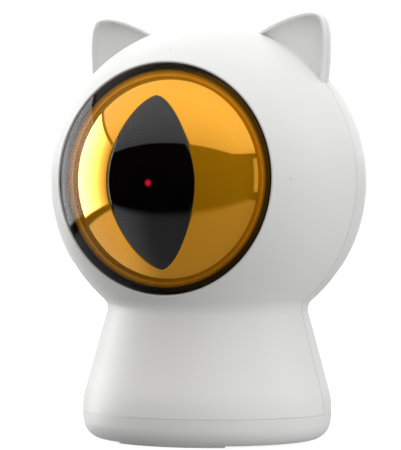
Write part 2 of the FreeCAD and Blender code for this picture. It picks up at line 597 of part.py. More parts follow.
yf = yf.cut(cyl(0.98, (0, pivot_y, 38), (0, 0, 1), 5.2))
put("yaw_frame", yf)
put("yaw_spindle_screw", screw((0, pivot_y, 39.2), (0, 0, 1), 0.95, 3.0, 3.4, 1.2))

# ---------------------------------------------------------------- laser cradle and its gear
cr = box(-4.6, 4.6, pivot_y - 7.0, pivot_y + 3.5, pivot_z - 4.6, pivot_z + 4.6)
try:
    ce = [e for e in cr.Edges if e.BoundBox.YLength > 5]
    cr = cr.makeFillet(1.2, ce)
except Exception:
    pass
tr1 = cyl(1.5, (4.0, pivot_y, pivot_z), (1, 0, 0), px + 0.1 - 4.0)
tr2 = cyl(1.5, (-9.6, pivot_y, pivot_z), (1, 0, 0), 5.6)
co1 = cyl(2.6, (4.0, pivot_y, pivot_z), (1, 0, 0), 2.35)
co2 = cyl(2.6, (-6.35, pivot_y, pivot_z), (1, 0, 0), 2.35)
cr = fuse(cr, tr1, tr2, co1, co2)
cr = cr.cut(cyl(3.22, (0, pivot_y - 10, pivot_z), (0, 1, 0), 20))
cr = cr.cut(cyl(0.97, (0, pivot_y - 3.5, pivot_z + 2), (0, 0, 1), 5))
put("laser_cradle", cr)

pg = gear(wheel_n, mod, 2.2, 1.52, 0.0)          # tooth on local +X, turned to the global +Y below
for k in range(5):
    a = math.radians(72 * k + 36)
    pg = pg.cut(Part.makeCylinder(1.9, 10, V(5.6 * math.cos(a), 5.6 * math.sin(a), -1)))
hub = Part.makeCylinder(2.6, 0.6, V(0, 0, -0.55)).cut(Part.makeCylinder(1.52, 3, V(0, 0, -1)))
pg = fuse(pg, hub)
pg = to_x(pg)
pg.translate(V(9.4, pivot_y, pivot_z))
put("pitch_gear", pg)
pp = gear(pinion_n, mod, 2.6, 0.78, 180.0 + half_p)
pp = to_x(pp)
pp.translate(V(9.3, mot_y, pivot_z))
put("pitch_pinion", pp)
put("pitch_motor_shaft", cyl(0.75, (2.5, mot_y, pivot_z), (1, 0, 0), 9.8))
pm = cyl(5.0, (-2.2, mot_y, pivot_z), (1, 0, 0), 8.65)
pm = fuse(pm, cyl(1.5, (6.0, mot_y, pivot_z), (1, 0, 0), 2.2), box(-1.0, 4.0, mot_y + 3.5, mot_y + 6.4, pivot_z - 2.4, pivot_z + 2.4))
pm = pm.cut(cyl(0.75 + fit, (2.4, mot_y, pivot_z), (1, 0, 0), 10))
for s in (1, -1):
    pm = pm.cut(cyl(0.78, (4.2, mot_y, pivot_z + s * 3.7), (1, 0, 0), 5))
put("pitch_motor", pm)
put("pitch_motor_screws", *[screw((8.7, mot_y, pivot_z + s * 3.7), (-1, 0, 0), 0.75, 3.2, 1.2, 0.33) for s in (1, -1)])

# ---------------------------------------------------------------- laser module
lb_y0, lb_y1 = pivot_y - 13.5, pivot_y + 3.8
barrel = cyl(3.2, (0, lb_y0, pivot_z), (0, 1, 0), lb_y1 - lb_y0)
for k in range(4):
    barrel = barrel.cut(cyl(3.5, (0, lb_y0 + 1.2 + 0.9 * k, pivot_z), (0, 1, 0), 0.35).cut(cyl(2.95, (0, lb_y0, pivot_z), (0, 1, 0), 8)))
barrel = barrel.cut(cyl(2.4, (0, lb_y0 + 0.7, pivot_z), (0, 1, 0), 30)).cut(cyl(1.5, (0, lb_y0 - 1, pivot_z), (0, 1, 0), 3))
put("laser_barrel", barrel)
lens_l = Part.makeCylinder(2.37, 1.2, V(0, lb_y0 + 0.75, pivot_z), V(0, 1, 0)).fuse(
    Part.makeSphere(3.4, V(0, lb_y0 + 1.95 - 2.6, pivot_z)).common(cyl(2.2, (0, lb_y0 + 1.9, pivot_z), (0, 1, 0), 3)))
put("laser_lens", lens_l)
diode = fuse(cyl(2.36, (0, pivot_y - 1.0, pivot_z), (0, 1, 0), 1.2), cyl(1.75, (0, pivot_y - 3.6, pivot_z), (0, 1, 0), 2.7),
             cyl(2.2, (0, pivot_y + 0.1, pivot_z), (0, 1, 0), 3.75), cyl(3.0, (0, pivot_y + 3.84, pivot_z), (0, 1, 0), 0.8))
put("laser_diode", diode)
gs = cyl(0.95, (0, pivot_y - 3.5, pivot_z + 3.22), (0, 0, 1), 1.9)
gs = gs.cut(Part.makeBox(2.4, 0.35, 0.8, V(-1.2, pivot_y - 3.5 - 0.175, pivot_z + 4.6)))
put("laser_set_screw", gs)

# the laser and its cradle point a little down at rest, at the middle of the slit
for n in ("laser_cradle", "laser_barrel", "laser_lens", "laser_diode", "laser_set_screw"):
    nodes[n].rotate(V(0, pivot_y, pivot_z), V(1, 0, 0), aim_deg)

# ---------------------------------------------------------------- main board and what is on it
pcb = Part.makeCylinder(23.4, pcb_z1 - pcb_z0, V(0, 0, pcb_z0))
for sx in (1, -1):
    for sy in (1, -1):
        pcb = pcb.cut(cyl(1.1, (sx * 15, sy * 9.5, 20), (0, 0, 1), 10))
put("main_board", pcb)
put("board_screws", *[screw((sx * 15, sy * 9.5, pcb_z1), (0, 0, -1), 0.9, 5.4, 1.7, 1.1) for sx in (1, -1) for sy in (1, -1)])
chips = [box(-8.4, -1.4, -10.8, -3.8, pcb_z1, pcb_z1 + 1.0), box(3.0, 8.2, -11.0, -6.0, pcb_z1, pcb_z1 + 1.1),
         box(-3.0, 0.5, -2.6, 1.0, pcb_z1, pcb_z1 + 0.9)]
mod_b = box(-8.0, 8.0, -22.0, -12.6, pcb_z1, pcb_z1 + 0.8).common(Part.makeCylinder(23.2, 40))
can_b = box(-6.0, 6.0, -20.8, -13.4, pcb_z1 + 0.8, pcb_z1 + 2.6)
put("board_chips", *chips)
put("wireless_module", fuse(mod_b, can_b))
conns = []
for sx in (1, -1):
    c = box(sx * 11.6 - 2.6, sx * 11.6 + 2.6, -4.6, 2.8, pcb_z1, pcb_z1 + 4.2)
    c = c.cut(box(sx * 11.6 - 1.9, sx * 11.6 + 1.9, -3.9, 2.1, pcb_z1 + 1.2, pcb_z1 + 6))
    conns.append(c)
put("board_connectors", *conns)
put("board_capacitor", cyl(2.5, (-11.5, 14.8, pcb_z1), (0, 0, 1), 5.4))

# lead of the yaw motor: runs joined by tangent arcs, ending inside the board connector
def lead(pts, r, bend):
    P = [V(*p) for p in pts]
    ed, a = [], P[0]
    for i in range(1, len(P) - 1):
        u = (P[i - 1] - P[i]); u.normalize()
        w = (P[i + 1] - P[i]); w.normalize()
        half = 0.5 * math.acos(max(-1, min(1, u.dot(w))))
        t = bend / math.tan(half)
        s0, s1 = P[i] + u * t, P[i] + w * t
        b = u + w
        b.normalize()
        c = P[i] + b * (bend / math.sin(half))
        m = c - b * bend
        ed += [Part.LineSegment(a, s0).toShape(), Part.Arc(s0, m, s1).toShape()]
        a = s1
    ed.append(Part.LineSegment(a, P[-1]).toShape())
    w = Part.Wire(ed)
    d = P[1] - P[0]
    prof = Part.Wire(Part.makeCircle(r, P[0], d))
    s = w.makePipeShell([prof], True, False)
    print("lead volume", s.Volume, "expected", math.pi * r * r * w.Length)
    return s
put("motor_lead", lead([(4.02, mot_y + 7.1, 32.0), (11.6, mot_y + 7.1, 32.0), (11.6, -0.9, 32.6), (11.6, -0.9, 27.6)], 0.6, 3.6))

us = fuse(box(-3.0, 3.0, 18.2, 25.3, usb_z - 1.58, usb_z + 1.58), cyl(1.58, (3.0, 18.2, usb_z), (0, 1, 0), 7.1), cyl(1.58, (-3.0, 18.2, usb_z), (0, 1, 0), 7.1))
cav = fuse(box(-3.0, 3.0, 19.2, 30, usb_z - 1.28, usb_z + 1.28), cyl(1.28, (3.0, 19.2, usb_z), (0, 1, 0), 10), cyl(1.28, (-3.0, 19.2, usb_z), (0, 1, 0), 10))
us = us.cut(cav).fuse(box(-3.3, 3.3, 19.1, 24.0, usb_z - 0.35, usb_z + 0.35))
put("usb_socket", us.removeSplitter())

sw = box(-3.1, 3.1, 19.4, 23.0, pcb_z0 - 4.4, pcb_z0)
sw = sw.cut(cyl(1.35, (0, 21.8, button_z), (0, 1, 0), 2.0))
put("mode_switch", sw)
put("switch_plunger", cyl(1.30, (0, 22.5, button_z), (0, 1, 0), 1.8))
bt = fuse(cyl(3.0, (0, 24.5, button_z), (0, 1, 0), 3.6), cyl(3.7, (0, 24.3, button_z), (0, 1, 0), 0.8))
try:
    be = [e for e in bt.Edges if abs(e.BoundBox.YMin - 28.1) < 1e-3 and abs(e.BoundBox.YMax - 28.1) < 1e-3]
    bt = bt.makeFillet(0.5, be)
except Exception:
    pass
bt = bt.cut(Part.makeSphere(12.0, V(0, 28.1 + 12.0 - 0.3, button_z)))
put("mode_button", bt)
put("status_led", box(7.2, 9.8, 20.6, 22.4, button_z - 1.0, pcb_z0))
lp = fuse(cyl(1.05, (8.5, 22.6, button_z), (0, 1, 0), 3.55), cyl(1.4, (8.5, 22.45, button_z), (0, 1, 0), 0.5))
put("light_pipe", lp)

# ---------------------------------------------------------------- export
for name in sorted(nodes):
    s = nodes[name]
    s.exportStep("parts/%s.step" % name)
    sol = s.Solids
    print("%-22s solids %d valid %s vol %.1f bb x %.2f..%.2f y %.2f..%.2f z %.2f..%.2f" % (
        name, len(sol), s.isValid(), s.Volume, s.BoundBox.XMin, s.BoundBox.XMax, s.BoundBox.YMin, s.BoundBox.YMax, s.BoundBox.ZMin, s.BoundBox.ZMax))
print("nodes", len(nodes))
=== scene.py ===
import math
import bpy
from mathutils import Matrix, Vector


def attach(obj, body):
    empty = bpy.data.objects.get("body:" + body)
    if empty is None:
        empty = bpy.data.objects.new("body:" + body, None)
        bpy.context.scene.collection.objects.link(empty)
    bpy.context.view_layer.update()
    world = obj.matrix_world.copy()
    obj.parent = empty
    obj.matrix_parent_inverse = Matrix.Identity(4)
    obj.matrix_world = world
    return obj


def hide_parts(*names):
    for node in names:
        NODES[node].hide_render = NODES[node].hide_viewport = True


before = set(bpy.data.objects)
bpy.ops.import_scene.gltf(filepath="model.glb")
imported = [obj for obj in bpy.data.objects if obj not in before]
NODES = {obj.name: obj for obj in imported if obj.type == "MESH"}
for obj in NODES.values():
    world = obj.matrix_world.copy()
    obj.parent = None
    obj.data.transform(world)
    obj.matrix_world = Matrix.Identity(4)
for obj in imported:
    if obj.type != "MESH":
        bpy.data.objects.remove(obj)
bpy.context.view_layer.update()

MM = 0.001
HEAD_Z = 63.8                 # centre of the head ball, mm
LENS_R = 38.85                # clear dome
IRIS_R, IRIS_Y = 35.45, -0.59 # amber dome: radius and centre on the eye axis
IRIS_RS = 24.1                # radius at which its rounded shoulder begins
IRIS_EDGE, IRIS_YE = 24.6, -25.55
PUPIL_HW, PUPIL_HH = 11.3, 20.63
PUPIL_Z, PUPIL_TURN = -0.96, math.radians(1.65)
PUPIL_N, PUPIL_M = 1.723, 0.642
SPOT_X, SPOT_Z = 0.2, -1.2    # where the beam leaves the window at rest


# ------------------------------------------------------------------ camera
def make_camera():
    az, el, roll, dist = math.radians(23.554), math.radians(-1.284), math.radians(0.406), 581.2 * MM
    back = Vector((math.sin(az) * math.cos(el), -math.cos(az) * math.cos(el), math.sin(el)))
    right = Vector((math.cos(az), math.sin(az), 0.0))
    up = back.cross(right)
    r2 = right * math.cos(roll) + up * math.sin(roll)
    u2 = up * math.cos(roll) - right * math.sin(roll)
    data = bpy.data.cameras.new("camera")
    cam = bpy.data.objects.new("camera", data)
    bpy.context.scene.collection.objects.link(cam)
    m = Matrix((r2, u2, back)).transposed().to_4x4()
    m.translation = Vector((0, 0, HEAD_Z * MM)) + back * dist
    cam.matrix_world = m
    data.sensor_fit = "AUTO"
    data.sensor_width = 36.0
    data.lens = 2341.9 * 36.0 / 450.0
    data.shift_x = (200.5 - 208.72) / 450.0
    data.shift_y = (181.33 - 225.0) / 450.0
    data.clip_start, data.clip_end = 0.01, 50.0
    bpy.context.scene.camera = cam


make_camera()
bpy.context.scene.view_settings.view_transform = "Standard"
bpy.context.scene.view_settings.look = "None"


# ------------------------------------------------------------------ node helpers
class G:
    """A short way to write a node graph."""

    def __init__(self, tree):
        self.t = tree
        self.n = 0

    def node(self, kind, **props):
        n = self.t.nodes.new(kind)
        n.location = (200 * (self.n % 8), -200 * (self.n // 8))
        self.n += 1
        for k, v in props.items():
            setattr(n, k, v)
        return n

    def put(self, socket, value):
        if isinstance(value, bpy.types.NodeSocket):
            self.t.links.new(value, socket)
        elif value is not None:
            socket.default_value = value

    def math(self, op, a, b=None, c=None, clamp=False):
        n = self.node("ShaderNodeMath", operation=op, use_clamp=clamp)
        self.put(n.inputs[0], a)
        if b is not None:
            self.put(n.inputs[1], b)
        if c is not None:
            self.put(n.inputs[2], c)
        return n.outputs[0]

    def step(self, x, edge, soft):
        """0 below edge - soft, 1 above edge + soft."""
        n = self.node("ShaderNodeMapRange", interpolation_type="SMOOTHSTEP")
        self.put(n.inputs["Value"], x)
        self.put(n.inputs["From Min"], edge - soft)
        self.put(n.inputs["From Max"], edge + soft)
        n.inputs["To Min"].default_value, n.inputs["To Max"].default_value = 0.0, 1.0
        return n.outputs["Result"]

    def remap(self, x, a, b, c, d, smooth=False):
        n = self.node("ShaderNodeMapRange", interpolation_type="SMOOTHSTEP" if smooth else "LINEAR")
        self.put(n.inputs["Value"], x)
        for k, v in (("From Min", a), ("From Max", b), ("To Min", c), ("To Max", d)):
            n.inputs[k].default_value = v
        return n.outputs["Result"]

    def mix(self, f, a, b):
        n = self.node("ShaderNodeMix", data_type="RGBA")
        self.put(n.inputs["Factor"], f)
        self.put(n.inputs["A"] if False else n.inputs[6], a)
        self.put(n.inputs[7], b)
        return n.outputs[2]

    def noise(self, vec, scale, detail=2.0, rough=0.5, dist=0.0):
        n = self.node("ShaderNodeTexNoise")
        self.put(n.inputs["Vector"], vec)
        n.inputs["Scale"].default_value = scale
        n.inputs["Detail"].default_value = detail
        n.inputs["Roughness"].default_value = rough
        n.inputs["Distortion"].default_value = dist
        return n.outputs["Fac"]

    def voronoi(self, vec, scale, feature="F1", out="Distance"):
        n = self.node("ShaderNodeTexVoronoi", feature=feature)
        self.put(n.inputs["Vector"], vec)
        n.inputs["Scale"].default_value = scale
        return n.outputs[out]

    def scaled(self, vec, s):
        n = self.node("ShaderNodeMapping")
        self.put(n.inputs["Vector"], vec)
        n.inputs["Scale"].default_value = s
        return n.outputs["Vector"]

    def bump(self, height, dist, strength=1.0, normal=None):
        n = self.node("ShaderNodeBump")
        n.inputs["Strength"].default_value = strength
        n.inputs["Distance"].default_value = dist
        self.put(n.inputs["Height"], height)
        if normal is not None:
            self.put(n.inputs["Normal"], normal)
        return n.outputs["Normal"]

    def xyz(self, vec):
        n = self.node("ShaderNodeSeparateXYZ")
        self.put(n.inputs[0], vec)
        return n.outputs[0], n.outputs[1], n.outputs[2]

    def rgb(self, c):
        return (c[0], c[1], c[2], 1.0)


def material(name):
    m = bpy.data.materials.new(name)
    m.use_nodes = True
    t = m.node_tree
    t.nodes.clear()
    g = G(t)
    out = g.node("ShaderNodeOutputMaterial")
    return m, g, out


def principled(g, out, **kw):
    b = g.node("ShaderNodeBsdfPrincipled")
    for k, v in kw.items():
        s = b.inputs[k.replace("_", " ")]
        if isinstance(v, tuple) and len(v) == 3:
            v = (v[0], v[1], v[2], 1.0)
        g.put(s, v)
    if out is not None:
        g.t.links.new(b.outputs[0], out.inputs["Surface"])
    return b


def object_coords(g):
    return g.node("ShaderNodeTexCoord").outputs["Object"]


# ------------------------------------------------------------------ studio: world, floor
LOBES = [((0.0, 0.0, 1.0), 2.05), ((0.704, -0.679, 0.208), 0.13), ((0.017, -0.978, 0.208), 0.62),
         ((0.863, -0.34, -0.375), 0.36), ((0.85, 0.37, -0.375), 0.90)]
LOBE_POWER = 3.0


def soft_light(g, d, lobes):
    """Broad pools of light round the toy: (direction, strength) pairs."""
    total = None
    for way, k in lobes:
        v = Vector(way).normalized()
        dot = g.node("ShaderNodeVectorMath", operation="DOT_PRODUCT")
        g.put(dot.inputs[0], d)
        dot.inputs[1].default_value = v
        p = g.math("POWER", g.math("MAXIMUM", dot.outputs["Value"], 0.0), LOBE_POWER)
        total = g.math("MULTIPLY", p, k) if total is None else g.math("MULTIPLY_ADD", p, k, total)
    return total


def make_world(lobes, seen=1.0, mirrored=(1.35, 0.32, 7.0, 0.65, 0.8, 0.003, 2.2, 0.65, 0.65)):
    w = bpy.data.worlds.new("studio")
    bpy.context.scene.world = w
    w.use_nodes = True
    t = w.node_tree
    t.nodes.clear()
    g = G(t)
    out = g.node("ShaderNodeOutputWorld")
    d = g.node("ShaderNodeTexCoord").outputs["Generated"]
    x, y, z = g.xyz(d)

    def neg(v):
        return g.math("MULTIPLY", v, -1.0)

    def mul(*vs):
        out_ = vs[0]
        for q in vs[1:]:
            out_ = g.math("MULTIPLY", out_, q)
        return out_

    # ceiling softbox: the part of a ceiling plane behind its bowed front edge, dimmer towards that edge
    zc = g.math("MAXIMUM", z, 0.02)
    cx, cy = g.math("DIVIDE", x, zc), g.math("DIVIDE", y, zc)
    cxl = g.math("MINIMUM", g.math("MAXIMUM", cx, -5.0), 5.0)
    bow = g.math("MAXIMUM", g.math("SUBTRACT", cxl, 1.75), 0.0)
    edge = g.math("MULTIPLY_ADD", cxl, -0.06, -1.89)
    edge = g.math("ADD", edge, g.math("MULTIPLY", g.math("MULTIPLY", bow, bow), 1.6))
    cin = g.math("SUBTRACT", cy, edge)
    ceil = mul(g.step(cin, 0.0, 0.07), g.step(z, 0.04, 0.04), g.remap(cin, 0.0, 1.5, 0.66, 1.0, True))
    # floor sweep below, brighter on the left
    zf = g.math("MAXIMUM", neg(z), 0.02)
    fx, fy = g.math("DIVIDE", x, zf), g.math("DIVIDE", y, zf)
    fxl = g.math("MINIMUM", g.math("MAXIMUM", fx, -5.0), 5.0)
    fin = g.math("SUBTRACT", fy, g.math("MULTIPLY_ADD", fxl, -0.04, -1.90))
    floor = mul(g.remap(fin, -0.45, 0.30, 0.0, 1.0, True), g.step(neg(z), 0.03, 0.03), g.remap(x, -0.8, -0.35, 2.9, 1.0, True))
    # tall softbox on the left, fading towards the camera
    xl = g.math("MAXIMUM", neg(x), 0.02)
    ly, lz = g.math("DIVIDE", y, xl), g.math("DIVIDE", z, xl)
    top = g.math("MULTIPLY_ADD", ly, 0.2115, 0.50)
    low = g.math("MULTIPLY_ADD", ly, 0.03, -0.245)
    side = mul(g.step(neg(x), 0.12, 0.06), g.step(neg(ly), -0.40, 0.05))
    box_ = mul(g.step(g.math("SUBTRACT", top, lz), 0.0, 0.012), g.step(g.math("SUBTRACT", lz, low), 0.0, 0.015))
    left = mul(side, box_, g.remap(ly, -0.52, 0.05, 0.10, 1.0, True), g.step(ly, -0.50, 0.03))
    # the dark seams above and below it
    rim = mul(g.step(g.math("SUBTRACT", g.math("ADD", top, 0.045), lz), 0.0, 0.012), g.step(g.math("SUBTRACT", lz, g.math("SUBTRACT", low, 0.075)), 0.0, 0.015))
    gap = mul(side, rim, g.step(ly, -0.53, 0.03))
    open_ = g.math("SUBTRACT", 1.0, gap)
    # lower one on the right
    xr = g.math("MAXIMUM", x, 0.02)
    ry, rz = g.math("DIVIDE", y, xr), g.math("DIVIDE", z, xr)
    right = mul(g.step(ry, -0.57, 0.02), g.step(x, 0.10, 0.05), g.step(rz, -0.17, 0.02), g.step(neg(rz), -0.33, 0.02), g.step(neg(ry), -3.0, 0.4))
    dark = g.math("SUBTRACT", 1.0, mul(g.step(x, 0.10, 0.05), g.step(neg(rz), -0.40, 0.02), g.step(rz, -0.30, 0.02)))
    # pale backdrop behind the toy
    back = mul(g.step(y, 0.62, 0.20), g.step(z, -0.2, 0.2), dark)
    k_ceil, k_floor, k_left, k_right, k_back, k_front, k_strip, k_card_r, k_card_l = mirrored
    v = mul(ceil, open_, dark, k_ceil)
    v = g.math("ADD", v, mul(floor, open_, dark, k_floor))
    v = g.math("ADD", v, mul(left, k_left))
    v = g.math("ADD", v, mul(right, k_right))
    # soft strip high on the right, which gives the body its second highlight
    toward = g.node("ShaderNodeVectorMath", operation="DOT_PRODUCT")
    g.put(toward.inputs[0], d)
    toward.inputs[1].default_value = Vector((0.874, 0.254, 0.415)).normalized()
    v = g.math("ADD", v, mul(g.step(toward.outputs["Value"], 0.955, 0.03), k_strip))
    v = g.math("MAXIMUM", v, mul(back, open_, k_back))
    # soft cards behind the shoulders, which lift the two sides of the head
    for way, edge_, soft_, k in (((0.798, 0.559, -0.225), 0.885, 0.08, k_card_r), ((-0.788, 0.615, -0.035), 0.935, 0.05, k_card_l)):
        card = g.node("ShaderNodeVectorMath", operation="DOT_PRODUCT")
        g.put(card.inputs[0], d)
        card.inputs[1].default_value = Vector(way).normalized()
        v = g.math("ADD", v, mul(g.step(card.outputs["Value"], edge_, soft_), k))
    v = g.math("ADD", v, k_front)
    lp = g.node("ShaderNodeLightPath")
    soft = soft_light(g, d, lobes)
    val = g.node("ShaderNodeMix", data_type="FLOAT")
    g.put(val.inputs[0], lp.outputs["Is Diffuse Ray"])
    g.put(val.inputs[2], v)
    g.put(val.inputs[3], soft)
    bg = g.node("ShaderNodeBackground")
    col = g.node("ShaderNodeCombineColor")
    for i in range(3):
        g.put(col.inputs[i], val.outputs[0])
    g.put(bg.inputs["Color"], col.outputs[0])
    bg.inputs["Strength"].default_value = 1.0
    white = g.node("ShaderNodeBackground")
    white.inputs["Color"].default_value = (1.0, 1.0, 1.0, 1.0)
    white.inputs["Strength"].default_value = seen
    mix = g.node("ShaderNodeMixShader")
    g.put(mix.inputs[0], lp.outputs["Is Camera Ray"])
    t.links.new(bg.outputs[0], mix.inputs[1])
    t.links.new(white.outputs[0], mix.inputs[2])
    t.links.new(mix.outputs[0], out.inputs["Surface"])


make_world(LOBES)


def mesh_object(name, verts, faces, smooth=True):
    me = bpy.data.meshes.new(name)
    me.from_pydata([Vector(v) * MM for v in verts], [], faces)
    me.validate()
    me.update()
    o = bpy.data.objects.new(name, me)
    bpy.context.scene.collection.objects.link(o)
    if smooth:
        me.polygons.foreach_set("use_smooth", [True] * len(me.polygons))
    return o


def floor_material():
    m, g, out = material("floor_paper")
    p = object_coords(g)
    n = g.noise(p, 900.0, 3.0)
    c = g.mix(g.noise(p, 6.0, 2.0), (0.90, 0.90, 0.90, 1), (0.93, 0.93, 0.93, 1))
    principled(g, out, Base_Color=c, Roughness=0.9, Normal=g.bump(n, 0.00002, 0.3), Emission_Color=(1.0, 1.0, 1.0), Emission_Strength=0.72)
    return m


def make_floor():
    s = 3000.0
    o = mesh_object("floor", [(-s, -s, 0), (s, -s, 0), (s, s, 0), (-s, s, 0)], [(0, 1, 2, 3)], False)
    o.data.materials.append(floor_material())
    o.visible_glossy = False
    o.visible_diffuse = False


make_floor()


def area(name, loc, target, size, power, color=(1, 1, 1), size_y=None, glossy=True):
    d = bpy.data.lights.new(name, "AREA")
    d.shape = "RECTANGLE"
    d.size = size
    d.size_y = size_y or size
    d.energy = power
    d.color = color
    o = bpy.data.objects.new(name, d)
    bpy.context.scene.collection.objects.link(o)
    o.location = loc
    o.rotation_euler = (Vector(target) - Vector(loc)).to_track_quat("-Z", "Y").to_euler()
    o.visible_camera = False
    o.visible_glossy = glossy
    return o


area("key_top_left", (-0.55, -0.35, 0.75), (0, 0, 0.06), 0.5, 0.05, glossy=False)


# ------------------------------------------------------------------ materials
def mat_shell():
    m, g, out = material("satin_white_abs")
    p = object_coords(g)
    fine = g.noise(p, 5200.0, 3.0, 0.6)
    soft = g.noise(p, 55.0, 2.0, 0.5)
    col = g.mix(soft, (0.865, 0.862, 0.850, 1), (0.885, 0.882, 0.872, 1))
    rough = g.remap(g.noise(p, 240.0, 3.0, 0.5), 0.3, 0.7, 0.36, 0.42)
    nrm = g.bump(fine, 0.000006, 0.5)
    principled(g, out, Base_Color=col, Roughness=rough, IOR=1.41, Normal=nrm)
    return m


def mat_clear(name, ior, rough, tint):
    m, g, out = material(name)
    p = object_coords(g)
    fres = g.node("ShaderNodeFresnel")
    fres.inputs["IOR"].default_value = ior
    tr = g.node("ShaderNodeBsdfTransparent")
    tr.inputs["Color"].default_value = (tint[0], tint[1], tint[2], 1)
    gl = g.node("ShaderNodeBsdfGlossy")
    gl.inputs["Color"].default_value = (1, 1, 1, 1)
    g.put(gl.inputs["Roughness"], g.remap(g.noise(p, 320.0, 2.0), 0.3, 0.7, rough, rough + 0.012))
    mx = g.node("ShaderNodeMixShader")
    g.put(mx.inputs[0], fres.outputs[0])
    g.t.links.new(tr.outputs[0], mx.inputs[1])
    g.t.links.new(gl.outputs[0], mx.inputs[2])
    g.t.links.new(mx.outputs[0], out.inputs["Surface"])
    return m


def mat_amber():
    m, g, out = material("metallised_amber")
    p = object_coords(g)
    f = g.noise(p, 140.0, 3.0, 0.55)
    col = g.mix(f, (0.94, 0.405, 0.003, 1), (0.98, 0.435, 0.005, 1))
    rough = g.remap(g.noise(p, 420.0, 3.0), 0.3, 0.7, 0.03, 0.05)
    nrm = g.bump(g.noise(p, 900.0, 2.0), 0.0000012, 0.4)
    principled(g, out, Base_Color=col, Metallic=0.55, Roughness=rough, IOR=1.7, Normal=nrm)
    return m


def mat_pupil():
    m, g, out = material("polished_dark_window")
    p = object_coords(g)
    col = g.mix(g.noise(p, 60.0, 2.0), (0.0015, 0.0012, 0.0012, 1), (0.0035, 0.0022, 0.0022, 1))
    rough = g.remap(g.noise(p, 500.0, 2.0), 0.3, 0.7, 0.012, 0.025)
    principled(g, out, Base_Color=col, Roughness=rough, IOR=1.53)
    return m


def mat_fade_painted_glow(name, rough, ior):
    """Amber lacquer that thins smoothly to black with distance from the eye axis, plus a painted glow (emission) that
    is brighter towards the top.
    """
    m, g, out = material(name)
    p = object_coords(g)
    x, y, z = g.xyz(p)
    zz = g.math("SUBTRACT", z, HEAD_Z * MM)
    r = g.math("SQRT", g.math("ADD", g.math("MULTIPLY", x, x), g.math("MULTIPLY", zz, zz)))
    r = g.math("MULTIPLY_ADD", r, 1000.0, g.remap(g.noise(p, 90.0, 2.0), 0.0, 1.0, -0.06, 0.06))
    u = g.math("MAXIMUM", g.math("DIVIDE", g.math("SUBTRACT", r, 23.9), 1.55), 0.0)
    f = g.math("EXPONENT", g.math("MULTIPLY", g.math("MULTIPLY", u, u), -1.0))
    col = g.mix(f, (0.006, 0.005, 0.003, 1), (0.92, 0.42, 0.005, 1))
    # painted glow: emission standing in for light caught by the clear dome at its edge, brighter towards the top
    high = g.math("DIVIDE", g.math("MULTIPLY", zz, 1000.0), r)
    painted_glow = g.math("MULTIPLY", f, g.remap(high, -1.0, 1.0, 0.03, 0.32))
    principled(g, out, Base_Color=col, Roughness=g.remap(g.noise(p, 400.0, 2.0), 0.3, 0.7, rough, rough + 0.05), IOR=ior,
               Emission_Color=(0.92, 0.42, 0.005), Emission_Strength=painted_glow)
    return m


def mat_plain(name, c0, c1, r0, r1, scale=120.0, bump_scale=2500.0, bump=0.000006, metallic=0.0, ior=1.46, coat=0.0, strength=0.5):
    m, g, out = material(name)
    p = object_coords(g)
    col = g.mix(g.noise(p, scale, 3.0), (*c0, 1), (*c1, 1))
    rough = g.remap(g.noise(p, scale * 3.1, 3.0), 0.3, 0.7, r0, r1)
    nrm = g.bump(g.noise(p, bump_scale, 3.0), bump, strength)
    principled(g, out, Base_Color=col, Roughness=rough, Metallic=metallic, IOR=ior, Normal=nrm, Coat_Weight=coat)
    return m


def mat_spun(name, c0, c1, r0, r1, axis="z", lines=9000.0):
    """Metal with fine turning marks across the given axis."""
    m, g, out = material(name)
    p = object_coords(g)
    s = {"x": (lines, 60.0, 60.0), "y": (60.0, lines, 60.0), "z": (60.0, 60.0, lines)}[axis]
    lines_ = g.noise(g.scaled(p, s), 1.0, 3.0, 0.6)
    col = g.mix(g.noise(p, 160.0, 3.0), (*c0, 1), (*c1, 1))
    rough = g.remap(lines_, 0.3, 0.7, r0, r1)
    principled(g, out, Base_Color=col, Roughness=rough, Metallic=1.0, Normal=g.bump(lines_, 0.000004, 0.5))
    return m


def mat_board():
    m, g, out = material("green_board")
    p = object_coords(g)
    x, y, z = g.xyz(p)
    # tracks: a stepped maze of thin lines under the lacquer
    v = g.voronoi(g.scaled(p, (1.0, 1.0, 0.0)), 420.0, "DISTANCE_TO_EDGE")
    track = g.math("LESS_THAN", v, 0.07)
    gridx = g.math("LESS_THAN", g.math("PINGPONG", x, 0.0011), 0.00022)
    gridy = g.math("LESS_THAN", g.math("PINGPONG", y, 0.0011), 0.00022)
    pick = g.step(g.noise(g.scaled(p, (1, 1, 0)), 260.0, 1.0), 0.52, 0.01)
    lines = g.mix(pick, gridx, gridy)
    tr = g.math("MAXIMUM", g.math("MULTIPLY", track, 0.5), g.math("MULTIPLY", lines, 0.5))
    col = g.mix(tr, (0.018, 0.135, 0.050, 1), (0.040, 0.230, 0.085, 1))
    vias = g.math("LESS_THAN", g.voronoi(g.scaled(p, (1, 1, 0)), 300.0), 0.10)
    col = g.mix(vias, col, (0.62, 0.52, 0.30, 1))
    principled(g, out, Base_Color=col, Roughness=g.remap(g.noise(p, 500.0, 2.0), 0.3, 0.7, 0.28, 0.36), IOR=1.5, Normal=g.bump(tr, 0.00002, 0.5))
    return m


def mat_cell():
    """Battery sleeve: dark green body, bare metal near the ends."""
    m, g, out = material("cell_sleeve")
    p = object_coords(g)
    x, y, z = g.xyz(p)
    ax = g.math("ABSOLUTE", x)
    bare = g.step(ax, 0.0205, 0.0002)
    band = g.math("SUBTRACT", g.step(x, 0.0100, 0.0001), g.step(x, 0.0150, 0.0001))
    col = g.mix(band, (0.015, 0.10, 0.045, 1), (0.72, 0.55, 0.20, 1))
    col = g.mix(bare, col, (0.75, 0.74, 0.71, 1))
    rough = g.remap(g.noise(g.scaled(p, (4000, 200, 200)), 1.0, 2.0), 0.3, 0.7, 0.22, 0.34)
    principled(g, out, Base_Color=col, Metallic=g.math("MAXIMUM", bare, 0.35), Roughness=rough, Normal=g.bump(g.noise(p, 1500.0, 2.0), 0.000004, 0.4))
    return m


